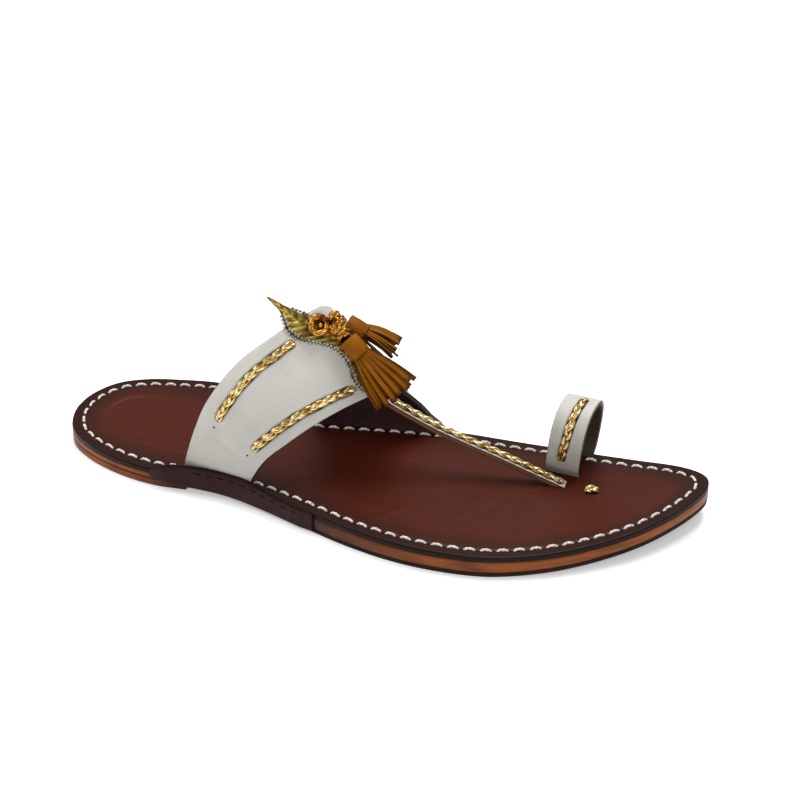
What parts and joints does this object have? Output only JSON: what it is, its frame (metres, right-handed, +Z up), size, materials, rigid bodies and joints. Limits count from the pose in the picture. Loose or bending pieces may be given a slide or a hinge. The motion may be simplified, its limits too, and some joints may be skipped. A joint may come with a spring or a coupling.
{
  "type": "kolhapuri sandal",
  "caption": "Flat right-foot leather sandal with an instep band, T-strap to the toe, a toe ring, plaited gold trim and leather tassels on the crest.",
  "frame": {"origin": "middle of the bounding box in plan, on the ground under the sole", "axes": "+X from heel to toe, +Y from the little-toe side to the big-toe side, +Z up"},
  "size_m": [0.2618, 0.0914, 0.0789],
  "materials": {
    "tan_leather": "vegetable-tanned, stacked and edge-stained",
    "dark_leather": "vegetable-tanned, matt, darkened",
    "brown_leather": "smooth, waxed and burnished",
    "ear_leather": "smooth, dyed, edges blacked",
    "white_leather": "fine-grained, off-white, dark lining",
    "gold_foil": "metallic foil with a beaded border",
    "gold_braid": "plaited metallic strips",
    "copper_braid": "plaited metallic strips, copper tone",
    "ochre_leather": "thin, matt, cut into strips"
  },
  "bodies": {
    "root": {"heel_lift": "tan_leather", "outsole": "dark_leather", "midsole": "tan_leather", "top_sole": "brown_leather", "ear_lateral": "ear_leather", "ear_medial": "ear_leather", "upper": "white_leather", "toe_ring": "white_leather", "leaf_tab": "gold_foil", "braid_lateral_rear": "gold_braid", "braid_lateral_front": "gold_braid", "braid_medial_rear": "gold_braid", "braid_medial_front": "gold_braid", "braid_thong": "gold_braid", "braid_ring": "gold_braid", "tassel_knot": "copper_braid", "tassel_cap_near": "ochre_leather", "fringe_near": "ochre_leather", "tassel_cap_far": "ochre_leather", "fringe_far": "ochre_leather"}
  },
  "joints": []
}
